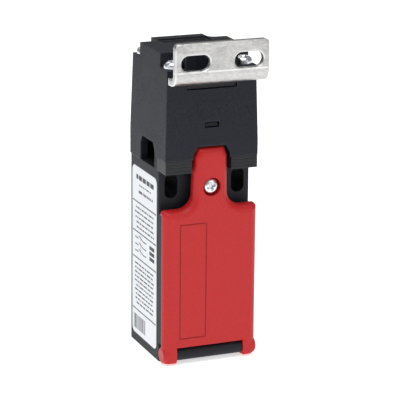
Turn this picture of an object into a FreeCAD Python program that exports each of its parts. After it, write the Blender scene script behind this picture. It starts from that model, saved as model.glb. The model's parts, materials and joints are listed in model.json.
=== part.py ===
import FreeCAD, Part
import math
import os
import re
import Sketcher

# Tongue interlock switch, in millimetres. X runs to the right, Y to the back, Z up.
# Every height below is measured from the underside of the case. The origin of the finished part
# lies on the back plane, midway between the two mounting slots, so each piece is lowered by slot_height.

doc = FreeCAD.newDocument("tongue_interlock_switch")

# Driving dimensions
SIZES = {
    # case
    "case_width": 30.0,
    "depth_less": 1.7,
    "case_height": 61.6,
    "case_wall": 2.4,
    "back_wall": 2.5,
    "foot_height": 9.0,
    "neck_height": 13.4,
    "neck_step": 3.6,
    "case_round": 0.6,
    "slot_drop": 5.1,
    "slot_inset": 4.0,
    "slot_width": 4.4,
    "slot_length": 8.0,
    "entry_bore": 18.38,
    "entry_chamfer": 0.8,
    "entry_offset": 1.7,
    "turret_wall": 1.3,
    "turret_height": 5.8,
    "boss_wall": 0.9,
    # cover and its hinge
    "cover_overhang": 0.56,
    "cover_thick": 2.6,
    "cover_gap": 0.1,
    "lip_depth": 0.9,
    "shoulder_over": 1.7,
    "shoulder_round": 1.1,
    "throat_round": 4.8,
    "tab_width": 11.6,
    "tab_neck_width": 11.0,
    "tab_neck_over": 4.8,
    "tab_top_width": 8.4,
    "tab_over": 7.7,
    "tab_bend": 2.6,
    "tab_corner": 1.2,
    "face_round": 0.4,
    "leg_round": 0.9,
    "hinge_height": 3.2,
    "barrel_inset": 4.1,
    "barrel_round": 2.2,
    "pin_round": 1.0,
    "pin_cover": 0.8,
    "leg_gap": 0.2,
    "gasket_width": 1.2,
    "gasket_depth": 0.9,
    "frame_left": 10.5,
    "frame_right": 1.6,
    "frame_low": 8.6,
    "frame_drop": 2.5,
    "frame_line": 0.35,
    "frame_sink": 0.25,
    "screw_drop": 4.85,
    "screw_head_round": 2.6,
    "screw_head_high": 2.0,
    "screw_sunk": 0.3,
    "screw_core_round": 1.25,
    "screw_length": 4.8,
    "insert_wall": 0.75,
    "insert_length": 3.7,
    "thread_room": 0.3,
    # label
    "label_thick": 0.12,
    "label_low": 3.0,
    "label_drop": 3.1,
    "label_setback": 5.3,
    "label_back": 1.9,
    "label_round": 2.0,
    # head
    "head_overhang": 0.2,
    "head_taper": 0.78,
    "head_setback": 0.1,
    "skirt_height": 8.6,
    "taper_height": 27.95,
    "head_wall": 2.3,
    "skirt_wall": 2.5,
    "notch_inset": 6.63,
    "notch_depth": 4.4,
    "notch_round": 2.6,
    "window_width": 12.2,
    "window_top_width": 9.3,
    "window_side": 5.4,
    "window_height": 8.0,
    "latch_width": 4.9,
    "latch_over": 5.1,
    "latch_height": 1.85,
    "screw_inset": 3.7,
    "head_screw_round": 2.75,
    "head_screw_high": 2.4,
    "head_screw_length": 25.0,
    "head_screw_core": 1.25,
    "boss_round": 2.6,
    "boss_over": 4.4,
    # cradle, clip and drum
    "plate_drop": 0.2,
    "plate_thick": 2.6,
    "cheek_gap": 14.6,
    "cheek_thick": 3.0,
    "cheek_depth": 12.0,
    "cheek_height": 15.2,
    "spigot_round": 7.5,
    "spigot_length": 4.0,
    "groove_round": 6.1,
    "clip_thick": 4.0,
    "clip_reach": 7.35,
    "prong_inner": 6.2,
    "prong_outer": 8.9,
    "prong_reach": 6.3,
    "rib_sink": 0.2,
    "axis_over": 12.5,
    "shaft_round": 2.0,
    "shaft_over": 1.2,
    "drum_width": 12.0,
    "hub_round": 4.0,
    "drum_round": 6.8,
    "cam_low": 5.2,
    "cam_rise": 3.5,
    "cam_turn": 60.0,
    "tooth_round": 10.2,
    "tooth_angle": 32.0,
    # key and its guides
    "tongue_reach": 8.6,
    "tongue_width": 14.0,
    "tip_past": 3.5,
    "key_inset": 0.15,
    "key_thick": 2.0,
    "key_reach": 22.8,
    "key_over": 20.8,
    "key_bend": 1.6,
    "key_corner": 1.4,
    "flange_reach": 16.8,
    "key_slot_width": 4.9,
    "key_slot_length": 9.5,
    "key_slot_inset": 6.45,
    "key_slot_over": 14.8,
    "guide_margin": 0.95,
    "guide_height": 5.7,
    "guide_thick": 1.8,
    "guide_centre": 7.95,
    "guide_mouth": 1.3,
    # plunger and contacts
    "plunger_round": 2.4,
    "plunger_tip": 1.2,
    "plunger_drop": 6.0,
    "carrier_drop": 9.2,
    "carrier_low": 16.0,
    "carrier_width": 5.2,
    "carrier_depth": 4.4,
    "seal_round": 5.4,
    "seal_thick": 2.8,
    "gasket_thick": 0.8,
    "block_setback": 5.3,
    "waist_width": 13.6,
    "waist_height": 18.2,
    "channel_width": 11.4,
    "channel_depth": 5.8,
    "row_low": 22.9,
    "row_pitch": 8.8,
    "pocket_height": 8.2,
    "pocket_behind": 2.5,
    "terminal_thick": 1.0,
    "terminal_ahead": 3.3,
    "contact_x": 4.2,
    "contact_round": 1.0,
    "contact_high": 0.6,
    "bridge_thick": 0.8,
    "bridge_width": 2.6,
    "bridge_tip": 0.5,
    "spring_length": 3.2,
    "wire_thick": 0.35,
    "spring_round": 0.95,
    "return_wire": 0.5,
    "return_round": 1.7,
    "clamp_side": 5.6,
    "clamp_thick": 0.9,
    "wire_gap": 0.4,
    # clearances
    "slip": 0.03,
    "run": 0.06,
    "loose": 0.1,
    "free": 0.2,
    "ample": 0.3,
}

# Places worked out from the driving dimensions
PLACES = {
    "half_width": "case_width / 2",
    "slot_spacing": "case_width - 2 * slot_inset",
    "head_side": "case_width + 2 * head_overhang",
    "head_top_side": "head_side - 2 * head_taper",
    "arm_width": "head_side - 2 * notch_inset",
    "head_screw_pitch": "head_side - 2 * screw_inset",
    "key_width": "head_side - 2 * key_inset",
    "key_slot_spacing": "key_width - 2 * key_slot_inset",
    "block_width": "2 * (cavity_half - 2 * free)",
    "terminal_x": "block_width / 2 - screw_head_round",
    "shaft_length": "cheek_gap + 2 * cheek_thick + 2 * shaft_over",
    "cavity_half": "case_width / 2 - case_wall",
    "cavity_top": "shelf_height - case_wall",
    "mid_y": "-head_setback - head_side / 2",
    "cover_back": "case_depth + cover_gap",
    "cover_front": "cover_back + cover_thick",
    "lip_back": "cover_back - lip_depth",
    "leg_in": "barrel_width / 2 + leg_gap",
    "barrel_width": "case_width - 2 * barrel_inset",
    "leg_out": "half_width + cover_overhang",
    "leg_foot": "hinge_height - cover_thick",
    "foot_depth": "cover_back - cover_thick - 2 * ample",
    "notch_top": "hinge_height + cover_thick + ample",
    "plate_foot": "hinge_height + barrel_round + ample",
    "socket_floor": "spigot_low - gasket_thick",
    "socket_round": "spigot_round + loose",
    "seal_floor": "socket_floor - seal_thick",
    "turret_top": "case_height + turret_height",
    "turret_round": "socket_round + turret_wall",
    "insert_round": "screw_core_round + thread_room + insert_wall",
    "screw_seat": "cover_front - screw_sunk - screw_head_high",
    "clip_high": "clip_low + clip_thick",
    "plate_top": "plate_low + plate_thick",
    "arm_half": "arm_width / 2 - ample",
    "cavity_reach": "head_side / 2 - skirt_wall - ample",
    "roof": "head_top - head_wall",
    "tongue_mid": "axis_height + tongue_reach",
    "screw_at": "head_screw_pitch / 2",
    "row_top": "row_low + 2 * row_pitch",
    "bridge_drop": "terminal_thick / 2 + contact_high + bridge_tip",
    "bridge_lift": "terminal_thick / 2 + contact_high + cam_rise + loose",
    "case_depth": "case_width - depth_less",
    "neck_depth": "case_depth - neck_step",
    "shelf_height": "case_height - neck_height",
    "slot_height": "case_height - slot_drop",
    "shoulder_height": "shelf_height + shoulder_over",
    "tab_neck_height": "case_height + tab_neck_over",
    "tab_height": "case_height + tab_over",
    "frame_high": "shelf_height - frame_drop",
    "screw_height": "case_height - screw_drop",
    "label_high": "case_height - label_drop",
    "label_front": "case_depth - label_setback",
    "entry_back": "-mid_y - entry_offset",
    "fold_height": "case_height + skirt_height",
    "head_top": "fold_height + taper_height",
    "notch_floor": "head_top - notch_depth",
    "window_straight": "case_height + window_side",
    "window_top": "case_height + window_height",
    "latch_low": "fold_height + latch_over",
    "latch_high": "latch_low + latch_height",
    "boss_low": "case_height + boss_over",
    "plate_low": "fold_height - plate_drop",
    "spigot_low": "case_height - spigot_length",
    "axis_height": "plate_low + axis_over",
    "clip_back": "-mid_y + clip_reach",
    "tongue_tip": "-mid_y - tip_past",
    "key_front": "-mid_y + key_reach",
    "flange_back": "-mid_y + flange_reach",
    "key_top": "axis_height + key_over",
    "key_slot_height": "axis_height + key_slot_over",
    "plunger_top": "axis_height - plunger_drop",
    "carrier_top": "case_height - carrier_drop",
    "block_front": "case_depth - block_setback",
    "pocket_floor": "-mid_y - pocket_behind",
    "terminal_face": "-mid_y + terminal_ahead",
    "guide_width": "tongue_width + 2 * guide_margin",
    "clip_low": "case_height",
    "block_top": "cavity_top - free",
}

sheet = doc.addObject("Spreadsheet::Sheet", "Sizes")
for row, (name, size) in enumerate(SIZES.items(), 1):
    sheet.set(f"A{row}", name)
    sheet.set(f"B{row}", str(size))
    sheet.setAlias(f"B{row}", name)
doc.recompute()

places = doc.addObject("App::VarSet", "Places")
gauge = doc.addObject("App::VarSet", "Gauge")
gauge.addProperty("App::PropertyFloat", "reading")


def bound(formula, place_owner="Places."):
    """Turn a formula on size and place names into an expression of this document."""
    def owned(match):
        word = match.group(0)
        if word in SIZES:
            return "Sizes." + word
        return place_owner + word
    return re.sub(r"[a-z_]+", owned, str(formula))


for name in PLACES:
    places.addProperty("App::PropertyFloat", name)
for name, formula in PLACES.items():
    places.setExpression(name, bound(formula, ""))
doc.recompute()


def number(formula):
    """The present value of a formula, for a start point or a curve that takes plain numbers."""
    gauge.setExpression("reading", bound(formula))
    gauge.recompute()
    return gauge.reading


def bind(item, **formulas):
    """Bind properties of an object, such as Length or Placement_Base_x, to formulas."""
    for name, formula in formulas.items():
        item.setExpression(name.replace("_", "."), bound(formula))


def add(kind, name):
    return doc.addObject(kind, name)


# Solid helpers: blocks, rods, cones, rings and booleans

TURNS = {
    "x": FreeCAD.Rotation(FreeCAD.Vector(0, 1, 0), 90),
    "y": FreeCAD.Rotation(FreeCAD.Vector(1, 0, 0), -90),
    "z": FreeCAD.Rotation(),
}


def lowered(height):
    return f"({height}) - slot_height"


def block(x, y, z, name="block"):
    """A box between two formulas on each axis."""
    item = add("Part::Box", name)
    bind(item, Length=f"({x[1]}) - ({x[0]})", Width=f"({y[1]}) - ({y[0]})", Height=f"({z[1]}) - ({z[0]})")
    bind(item, Placement_Base_x=x[0], Placement_Base_y=y[0], Placement_Base_z=lowered(z[0]))
    return item


def set_along(item, axis, centre, low):
    """Lay a round solid along an axis through a centre, starting at low."""
    item.Placement = FreeCAD.Placement(FreeCAD.Vector(), TURNS[axis])
    spots = {
        "x": (low, centre[0], centre[1]),
        "y": (centre[0], low, centre[1]),
        "z": (centre[0], centre[1], low),
    }[axis]
    bind(item, Placement_Base_x=spots[0], Placement_Base_y=spots[1], Placement_Base_z=lowered(spots[2]))


def rod(axis, centre, radius, low, high, name="rod"):
    item = add("Part::Cylinder", name)
    bind(item, Radius=radius, Height=f"({high}) - ({low})")
    set_along(item, axis, centre, low)
    return item


def cone(axis, centre, radius_low, radius_high, low, high, name="cone"):
    item = add("Part::Cone", name)
    bind(item, Radius1=radius_low, Radius2=radius_high, Height=f"({high}) - ({low})")
    set_along(item, axis, centre, low)
    return item


def fuse(*items, name="joined"):
    item = add("Part::MultiFuse", name)
    item.Shapes = list(items)
    item.Refine = True
    return item


def cut(base, *tools, name="cut"):
    item = add("Part::Cut", name)
    item.Base = base
    item.Tool = tools[0] if len(tools) == 1 else fuse(*tools, name=name + "_tools")
    item.Refine = True
    return item


def ring(axis, centre, outer, inner, low, high, name="ring"):
    return cut(rod(axis, centre, outer, low, high), rod(axis, centre, inner, f"({low}) - 1", f"({high}) + 1"),
               name=name)


def obround(centre, width, length, along, y, name="obround"):
    """A long hole through Y with round ends; along is the axis of its length, x or z."""
    reach = f"(({length}) - ({width})) / 2"
    half = f"({width}) / 2"
    at_x, at_z = centre
    if along == "x":
        ends = [(f"{at_x} - {reach}", at_z), (f"{at_x} + {reach}", at_z)]
        middle = block((ends[0][0], ends[1][0]), y, (f"{at_z} - {half}", f"{at_z} + {half}"))
    else:
        ends = [(at_x, f"{at_z} - {reach}"), (at_x, f"{at_z} + {reach}")]
        middle = block((f"{at_x} - {half}", f"{at_x} + {half}"), y, (ends[0][1], ends[1][1]))
    return fuse(middle, *[rod("y", end, half, y[0], y[1]) for end in ends], name=name)


def side(sign, near, far):
    """A span on the left (-1) or right (1) of the middle plane."""
    if sign > 0:
        return (near, far)
    return (f"-({far})", f"-({near})")


def around(middle, half):
    return (f"{middle} - ({half})", f"{middle} + ({half})")


# Sketch helpers: each corner of an outline is dimensioned from the sketch's origin

PLANES = {
    "front": ("XZ_Plane", FreeCAD.Rotation(FreeCAD.Vector(1, 0, 0), 90)),
    "side": ("YZ_Plane", FreeCAD.Rotation(FreeCAD.Vector(1, 1, 1), 120)),
    "top": ("XY_Plane", FreeCAD.Rotation()),
}


def draw(sketch, corners):
    """A closed outline of straight lines, fully dimensioned."""
    spots = [(number(u), number(v)) for u, v in corners]
    count = len(corners)
    for index in range(count):
        start = FreeCAD.Vector(*spots[index], 0)
        end = FreeCAD.Vector(*spots[(index + 1) % count], 0)
        sketch.addGeometry(Part.LineSegment(start, end), False)
    for index in range(count):
        sketch.addConstraint(Sketcher.Constraint("Coincident", index, 2, (index + 1) % count, 1))
    for index, corner in enumerate(corners):
        for kind, formula, spot in zip(("DistanceX", "DistanceY"), corner, spots[index]):
            place = sketch.addConstraint(Sketcher.Constraint(kind, -1, 1, index, 1, spot))
            sketch.setExpression(f"Constraints[{place}]", bound(formula))


def rectangle(u, v):
    return [(u[0], v[0]), (u[1], v[0]), (u[1], v[1]), (u[0], v[1])]


def new_body(name):
    body = add("PartDesign::Body", name)
    bind(body, Placement_Base_z="-slot_height")
    return body


def sketch_in(body, plane, start, corners):
    """A sketch on one of the body's own origin planes, moved out along the plane's normal."""
    sketch = body.newObject("Sketcher::SketchObject", body.Name + "_sketch")
    role = PLANES[plane][0]
    support = [item for item in body.Origin.OriginFeatures if item.Role == role][0]
    sketch.AttachmentSupport = [(support, "")]
    sketch.MapMode = "FlatFace"
    bind(sketch, AttachmentOffset_Base_z=start)
    draw(sketch, corners)
    return sketch


def pad(body, plane, start, length, corners):
    """Material from start outwards along the plane's normal."""
    feature = body.newObject("PartDesign::Pad", body.Name + "_pad")
    feature.Profile = sketch_in(body, plane, start, corners)
    bind(feature, Length=length)
    doc.recompute()
    return feature


def pocket(body, plane, start, depth, corners):
    """A hollow from start inwards, against the plane's normal."""
    before = body.Shape.Volume
    feature = body.newObject("PartDesign::Pocket", body.Name + "_pocket")
    feature.Profile = sketch_in(body, plane, start, corners)
    bind(feature, Length=depth)
    doc.recompute()
    if feature.Shape.Volume >= before:
        raise ValueError(f"{feature.Name} cuts nothing")
    return feature


def edges_where(shape, test):
    """Names of the edges whose middle point passes a test."""
    names = []
    for index, edge in enumerate(shape.Edges, 1):
        middle = edge.valueAt((edge.FirstParameter + edge.LastParameter) / 2)
        if test(edge, middle):
            names.append(f"Edge{index}")
    return names


def fillet(body, radius, test):
    """Round the body's edges that pass a test."""
    feature = body.newObject("PartDesign::Fillet", body.Name + "_fillet")
    base = [item for item in body.Group if item.isDerivedFrom("PartDesign::Feature") and item != feature][-1]
    feature.Base = (base, edges_where(base.Shape, test))
    bind(feature, Radius=radius)
    doc.recompute()
    return feature


def prism(plane, start, length, corners, name="prism"):
    """A free-standing extruded outline, for cutting or joining."""
    sketch = add("Sketcher::SketchObject", name + "_outline")
    sketch.Placement = FreeCAD.Placement(FreeCAD.Vector(), PLANES[plane][1])
    draw(sketch, corners)
    bind(sketch, Placement_Base_z="-slot_height")
    if plane == "front":
        bind(sketch, Placement_Base_y=f"-({start})")
    elif plane == "side":
        bind(sketch, Placement_Base_x=start)
    else:
        bind(sketch, Placement_Base_z=lowered(start))
    item = add("Part::Extrusion", name)
    item.Base = sketch
    item.DirMode = "Normal"
    item.Solid = True
    bind(item, LengthFwd=length)
    return item


def along(edge, axis):
    """Whether a straight edge runs along an axis."""
    if edge.Curve.TypeId != "Part::GeomLine":
        return False
    return abs(getattr(edge.tangentAt(edge.FirstParameter), axis)) > 0.999


def near(value, target):
    return abs(value - target) < 0.02


nodes = {}


def keep(name, item):
    """Name a finished sub-part; the name is also its file's name."""
    item.Label = name
    nodes[name] = item
    return item


# Screws and springs

def cross_recess(axis, centre, top, deep, long, wide):
    """Two crossed slots that a screwdriver fits, sunk from top by deep."""
    cells = []
    for wide_u, wide_v in ((long, wide), (wide, long)):
        u = around(centre[0], f"{wide_u} / 2")
        v = around(centre[1], f"{wide_v} / 2")
        if axis == "y":
            cells.append(block(u, (f"{top} - 0.5", f"{top} + {deep}"), v))
        else:
            cells.append(block(u, v, (f"{top} - {deep}", f"{top} + 0.5")))
    return cells


def front_screw(centre, top, head_round, head_high, core, tip, name):
    """A pan-head screw that points to the back, its head's top at top and its tip at tip."""
    crown = f"{top} + {head_high} * 0.45"
    seat = f"{top} + {head_high}"
    body = fuse(
        cone("y", centre, f"{head_round} * 0.72", head_round, top, crown),
        rod("y", centre, head_round, crown, seat),
        rod("y", centre, core, seat, tip),
    )
    return cut(body, *cross_recess("y", centre, top, f"{head_high} * 0.7", f"{head_round} * 1.15",
                                   f"{head_round} * 0.28"), name=name)


def coil(name, centre, radius, wire, low, high, turns):
    """A compression spring that stands upright between two heights."""
    x, y = number(centre[0]), number(centre[1])
    ring_round, wire_round = number(radius), number(wire) / 2
    foot = number(low) + wire_round
    rise = number(high) - number(low) - 2 * wire_round
    helix = Part.makeLongHelix(rise / turns, rise, ring_round)
    start = Part.makeCircle(wire_round, FreeCAD.Vector(ring_round, 0, 0), FreeCAD.Vector(0, 1, 0))
    tube = Part.Wire(helix).makePipeShell([Part.Wire(start)], True, True)
    item = add("Part::Feature", name)
    item.Shape = tube
    item.Placement = FreeCAD.Placement(FreeCAD.Vector(x, y, foot - number("slot_height")), FreeCAD.Rotation())
    return keep(name, item)


# Case

def make_case():
    body = new_body("case_body")
    pad(body, "side", "-half_width", "case_width", [
        ("0", "0"),
        ("-foot_depth", "0"),
        ("-foot_depth", "notch_top"),
        ("-case_depth", "notch_top"),
        ("-case_depth", "shelf_height"),
        ("-neck_depth", "shelf_height"),
        ("-neck_depth", "case_height"),
        ("0", "case_height"),
    ])
    flank = number("half_width")
    fillet(body, "case_round", lambda edge, at: near(abs(at.x), flank) and along(edge, "z"))
    pocket(body, "front", "case_depth", "case_depth - back_wall",
           rectangle(("-cavity_half", "cavity_half"), ("foot_height", "cavity_top")))

    turret = ring("z", ("0", "mid_y"), "turret_round", "socket_round", "case_height", "turret_top")
    web = block(("-barrel_width / 2", "barrel_width / 2"), ("-cover_back", "-foot_depth + 1"),
                ("hinge_height - barrel_round", "notch_top"))
    barrel = rod("x", ("-cover_back", "hinge_height"), "barrel_round", "-barrel_width / 2", "barrel_width / 2")
    boss = rod("y", ("0", "screw_height"), "insert_round + boss_wall", "-lip_back + loose / 2", "-neck_depth + 1")
    whole = fuse(body, turret, web, barrel, boss, name="case_joined")

    hollows = [
        rod("z", ("0", "mid_y"), "seal_round - 0.9", "cavity_top - 1", "seal_floor + 1"),
        rod("z", ("0", "mid_y"), "seal_round + loose", "seal_floor", "socket_floor + 1"),
        rod("z", ("0", "mid_y"), "socket_round", "socket_floor", "case_height + 1"),
        block(around("0", "channel_width / 2"), around("mid_y", "channel_depth / 2"),
              ("cavity_top - 1", "cavity_top + 1.8")),
        rod("z", ("0", "-entry_back"), "entry_bore / 2", "-1", "foot_height + 1"),
        cone("z", ("0", "-entry_back"), "entry_bore / 2 + entry_chamfer", "entry_bore / 2", "0", "entry_chamfer"),
        rod("x", ("-cover_back", "hinge_height"), "pin_round + slip", "-half_width", "half_width"),
        rod("y", ("0", "screw_height"), "insert_round + slip", "-lip_back - 1", "-lip_back + insert_length + loose"),
    ]
    for sign in (-1, 1):
        hollows.append(obround((f"{sign} * slot_spacing / 2", "slot_height"), "slot_width", "slot_length", "z",
                               ("-neck_depth - 1", "1")))
        hollows.append(block(side(sign, "prong_inner - loose", "turret_round + 1"),
                             around("mid_y", "turret_round + 1"), ("clip_low", "clip_high + loose")))
    return keep("case", cut(whole, *hollows, name="case_cut"))


def make_label():
    body = new_body("label_body")
    pad(body, "side", "-half_width - label_thick", "label_thick",
        rectangle(("-label_front", "-label_back"), ("label_low", "label_high")))
    fillet(body, "label_round", lambda edge, at: along(edge, "x"))
    return keep("type_label", body)


# Cover, its screw, pin and gasket

def make_cover():
    body = new_body("cover_body")
    half_tab, half_neck, half_top = "tab_width / 2", "tab_neck_width / 2", "tab_top_width / 2"
    right = [
        ("leg_in", "plate_foot"),
        ("leg_in", "leg_foot"),
        ("leg_out", "leg_foot"),
        ("leg_out", "shoulder_height"),
        (half_tab, "shoulder_height"),
        (half_neck, "tab_neck_height"),
        (half_top, "tab_height"),
    ]
    left = [(f"-({u})", v) for u, v in reversed(right)]
    pad(body, "front", "lip_back", "cover_front - lip_back", right + left)

    shoulder, tab_base = number("shoulder_height"), number(half_tab)
    edge_out, tab_top, neck = number("leg_out"), number("tab_height"), number("tab_neck_height")
    face = -number("cover_front")
    fillet(body, "shoulder_round",
           lambda edge, at: along(edge, "y") and near(abs(at.x), edge_out) and near(at.z, shoulder))
    fillet(body, "throat_round",
           lambda edge, at: along(edge, "y") and near(abs(at.x), tab_base) and near(at.z, shoulder))
    fillet(body, "tab_corner",
           lambda edge, at: along(edge, "y") and (near(at.z, tab_top) or near(at.z, neck)))
    fillet(body, "tab_bend",
           lambda edge, at: along(edge, "x") and near(at.z, tab_top) and near(at.y, face))
    foot = number("leg_foot")
    fillet(body, "leg_round",
           lambda edge, at: near(at.z, foot) and near(at.y, face) and along(edge, "x"))
    fillet(body, "face_round",
           lambda edge, at: near(at.y, face) and foot + 1 < at.z < tab_top - 3.0)
    pocket(body, "front", "cover_back", "lip_depth + 1",
           rectangle(("-leg_out - 1", "leg_out + 1"), ("0", "shelf_height + loose")))

    hinge = ("-cover_back", "hinge_height")
    eyes, hollows = [], []
    for sign in (-1, 1):
        span = side(sign, "leg_in", "leg_out")
        rim = side(sign, "leg_out - face_round", "leg_out")
        drum = side(sign, "leg_in", "leg_out - face_round")
        eyes.append(rod("x", hinge, "cover_thick", *drum))
        wide, narrow = "cover_thick", "cover_thick - face_round"
        radii = (wide, narrow) if sign > 0 else (narrow, wide)
        eyes.append(cone("x", hinge, *radii, *rim))
        hollows.append(rod("x", hinge, "pin_round + run", *side(sign, "leg_in - 1", "leg_out - pin_cover")))
    seat = ("0", "screw_height")
    hollows.append(rod("y", seat, "screw_head_round + ample", "-cover_front - 1", "-screw_seat"))
    hollows.append(rod("y", seat, "screw_core_round + ample", "-screw_seat - 1", "-lip_back + 1"))
    hollows.append(gasket_ring("loose / 2", "groove"))
    line = side(-1, "frame_right", "frame_left")
    sunk = ("-cover_front - 1", "-cover_front + frame_sink")
    hollows.append(cut(
        block(line, sunk, ("frame_low", "frame_high")),
        block((f"{line[0]} + frame_line", f"{line[1]} - frame_line"), ("-cover_front - 2", "-cover_front + 1"),
              ("frame_low + frame_line", "frame_high - frame_line")),
    ))
    return keep("front_cover", cut(fuse(body, *eyes), *hollows, name="cover_cut"))


def gasket_ring(extra, name):
    """The square ring that lies on the case's rim, wider by extra where it is the groove."""
    mid_x = "(cavity_half + half_width) / 2"
    low = "(foot_height + notch_top) / 2"
    high = "(cavity_top + shelf_height) / 2"
    reach = f"(gasket_width / 2 + {extra})"
    y = ("-cover_back - gasket_depth", "-case_depth")
    if name == "groove":
        y = ("-cover_back - gasket_depth", "-case_depth + 1")
    outer = block((f"-{mid_x} - {reach}", f"{mid_x} + {reach}"), y, (f"{low} - {reach}", f"{high} + {reach}"))
    inner = block((f"-{mid_x} + {reach}", f"{mid_x} - {reach}"), (f"{y[0]} - 1", f"{y[1]} + 1"),
                  (f"{low} + {reach}", f"{high} - {reach}"))
    return cut(outer, inner, name=name)


def make_cover_fittings():
    keep("cover_gasket", gasket_ring("0", "gasket"))
    keep("hinge_pin", rod("x", ("-cover_back", "hinge_height"), "pin_round", "-leg_out + pin_cover + free",
                          "leg_out - pin_cover - free"))
    seat = ("0", "screw_height")
    keep("cover_screw", front_screw(seat, "-screw_seat - screw_head_high", "screw_head_round",
                                    "screw_head_high", "screw_core_round", "-screw_seat + screw_length", "screw"))
    keep("screw_insert", ring("y", seat, "insert_round", "screw_core_round + thread_room", "-lip_back + loose",
                              "-lip_back + insert_length"))


# Head

def quarter_spots(reach):
    """The four corners round the head's middle, as signs and formulas."""
    spots = []
    for sign_x in (-1, 1):
        for sign_y in (-1, 1):
            spots.append((sign_x, sign_y, f"{sign_x} * {reach}", f"mid_y + {sign_y} * {reach}"))
    return spots


def tapered_head():
    """The sloping upper block of the head, from the fold to the top."""
    item = add("Part::Wedge", "head_taper")
    item.Placement = FreeCAD.Placement(FreeCAD.Vector(), FreeCAD.Rotation(FreeCAD.Vector(1, 0, 0), 90))
    low, high = "head_side / 2", "head_top_side / 2"
    bind(item, Xmin=f"-{low}", Xmax=low, Zmin=f"-{low}", Zmax=low, X2min=f"-{high}", X2max=high,
         Z2min=f"-{high}", Z2max=high, Ymin="0", Ymax="head_top - fold_height")
    bind(item, Placement_Base_y="mid_y", Placement_Base_z=lowered("fold_height"))
    return item


def make_head():
    skirt = block(around("0", "head_side / 2"), around("mid_y", "head_side / 2"), ("case_height", "fold_height"))
    whole = fuse(skirt, tapered_head(), name="head_joined")
    hollows = []
    for sign_x, sign_y, x, y in quarter_spots("screw_at"):
        inner, outer = "(arm_width / 2)", "(head_side / 2 + 1)"
        turned = "(arm_width / 2 + notch_round)"
        lift = ("notch_floor", "head_top + 1")
        near_y = (f"mid_y + {inner}", f"mid_y + {outer}") if sign_y > 0 else (f"mid_y - {outer}", f"mid_y - {inner}")
        far_y = (f"mid_y + {turned}", near_y[1]) if sign_y > 0 else (near_y[0], f"mid_y - {turned}")
        hollows.append(block(side(sign_x, turned, outer), near_y, lift))
        hollows.append(block(side(sign_x, inner, outer), far_y, lift))
        hollows.append(rod("z", (f"{sign_x} * {turned}", f"mid_y + {sign_y} * {turned}"), "notch_round", *lift))
        hollows.append(rod("z", (x, y), "head_screw_core + 2 * free", "plate_low", "notch_floor + 1"))
        hollows.append(rod("z", (x, y), "boss_round + loose", "case_height - 1", "plate_top + loose"))
    # skirt hollow, seat of the cradle plate and the plus-shaped room round the drum
    inside = "head_side / 2 - skirt_wall"
    hollows.append(block(around("0", inside), around("mid_y", inside), ("case_height - 1", "plate_low")))
    hollows.append(block(around("0", "cavity_reach + loose"), around("mid_y", "cavity_reach + loose"),
                         ("plate_low - 1", "plate_top + loose / 2")))
    room = ("plate_top - 1", "tongue_mid + key_thick / 2 + ample")
    hollows.append(block(around("0", "cavity_reach"), around("mid_y", "arm_half"), room))
    hollows.append(block(around("0", "arm_half"), around("mid_y", "cavity_reach"), room))
    hollows.append(block(around("0", "drum_width / 2 + 2 * free"), around("mid_y", "cavity_reach - 1"),
                         ("tongue_mid", "roof")))
    # windows through the skirt, the same on all four sides
    for plane, middle in (("front", "0"), ("side", "mid_y")):
        low, top = "window_width / 2", "window_top_width / 2"
        start = "-1" if plane == "front" else "-head_side / 2 - 1"
        hollows.append(prism(plane, start, "head_side + 2 + head_setback", [
            (f"{middle} - {low}", "case_height - 1"),
            (f"{middle} + {low}", "case_height - 1"),
            (f"{middle} + {low}", "window_straight"),
            (f"{middle} + {top}", "window_top"),
            (f"{middle} - {top}", "window_top"),
            (f"{middle} - {low}", "window_straight"),
        ], name="window"))
    # snap windows front and back, guide seats, and room for the clip's feet
    hollows.append(block(around("0", "latch_width / 2"), around("mid_y", "head_side / 2 + 1"),
                         ("latch_low", "latch_high")))
    guide_x = around("0", "guide_width / 2 + ample")
    guide_half = "guide_height / 2 + ample"
    hollows.append(block(guide_x, ("-head_side - 1", "mid_y - cavity_reach + 1"),
                         around("axis_height + guide_centre", guide_half)))
    hollows.append(block(guide_x, around("mid_y + guide_centre", guide_half), ("roof - 1", "head_top + 1")))
    hollows.append(block(around("0", "head_side / 2 + 1"), ("-head_side - 1", "-clip_back + loose"),
                         ("case_height - 1", "clip_high + loose")))
    return keep("head_housing", cut(whole, *hollows, name="head_cut"))


def make_head_screws():
    screws = []
    for _, _, x, y in quarter_spots("screw_at"):
        top = "notch_floor + head_screw_high"
        shank = rod("z", (x, y), "head_screw_core", "notch_floor - head_screw_length", "notch_floor + 0.1")
        collar = rod("z", (x, y), "head_screw_round", "notch_floor", "notch_floor + head_screw_high * 0.55")
        crown = cone("z", (x, y), "head_screw_round", "head_screw_round * 0.72",
                     "notch_floor + head_screw_high * 0.55", top)
        recess = cross_recess("z", (x, y), top, "head_screw_high * 0.7", "head_screw_round * 1.15",
                              "head_screw_round * 0.28")
        screws.append(cut(fuse(shank, collar, crown), *recess))
    group = add("Part::Compound", "head_screw_group")
    group.Links = screws
    return keep("head_screws", group)


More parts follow.
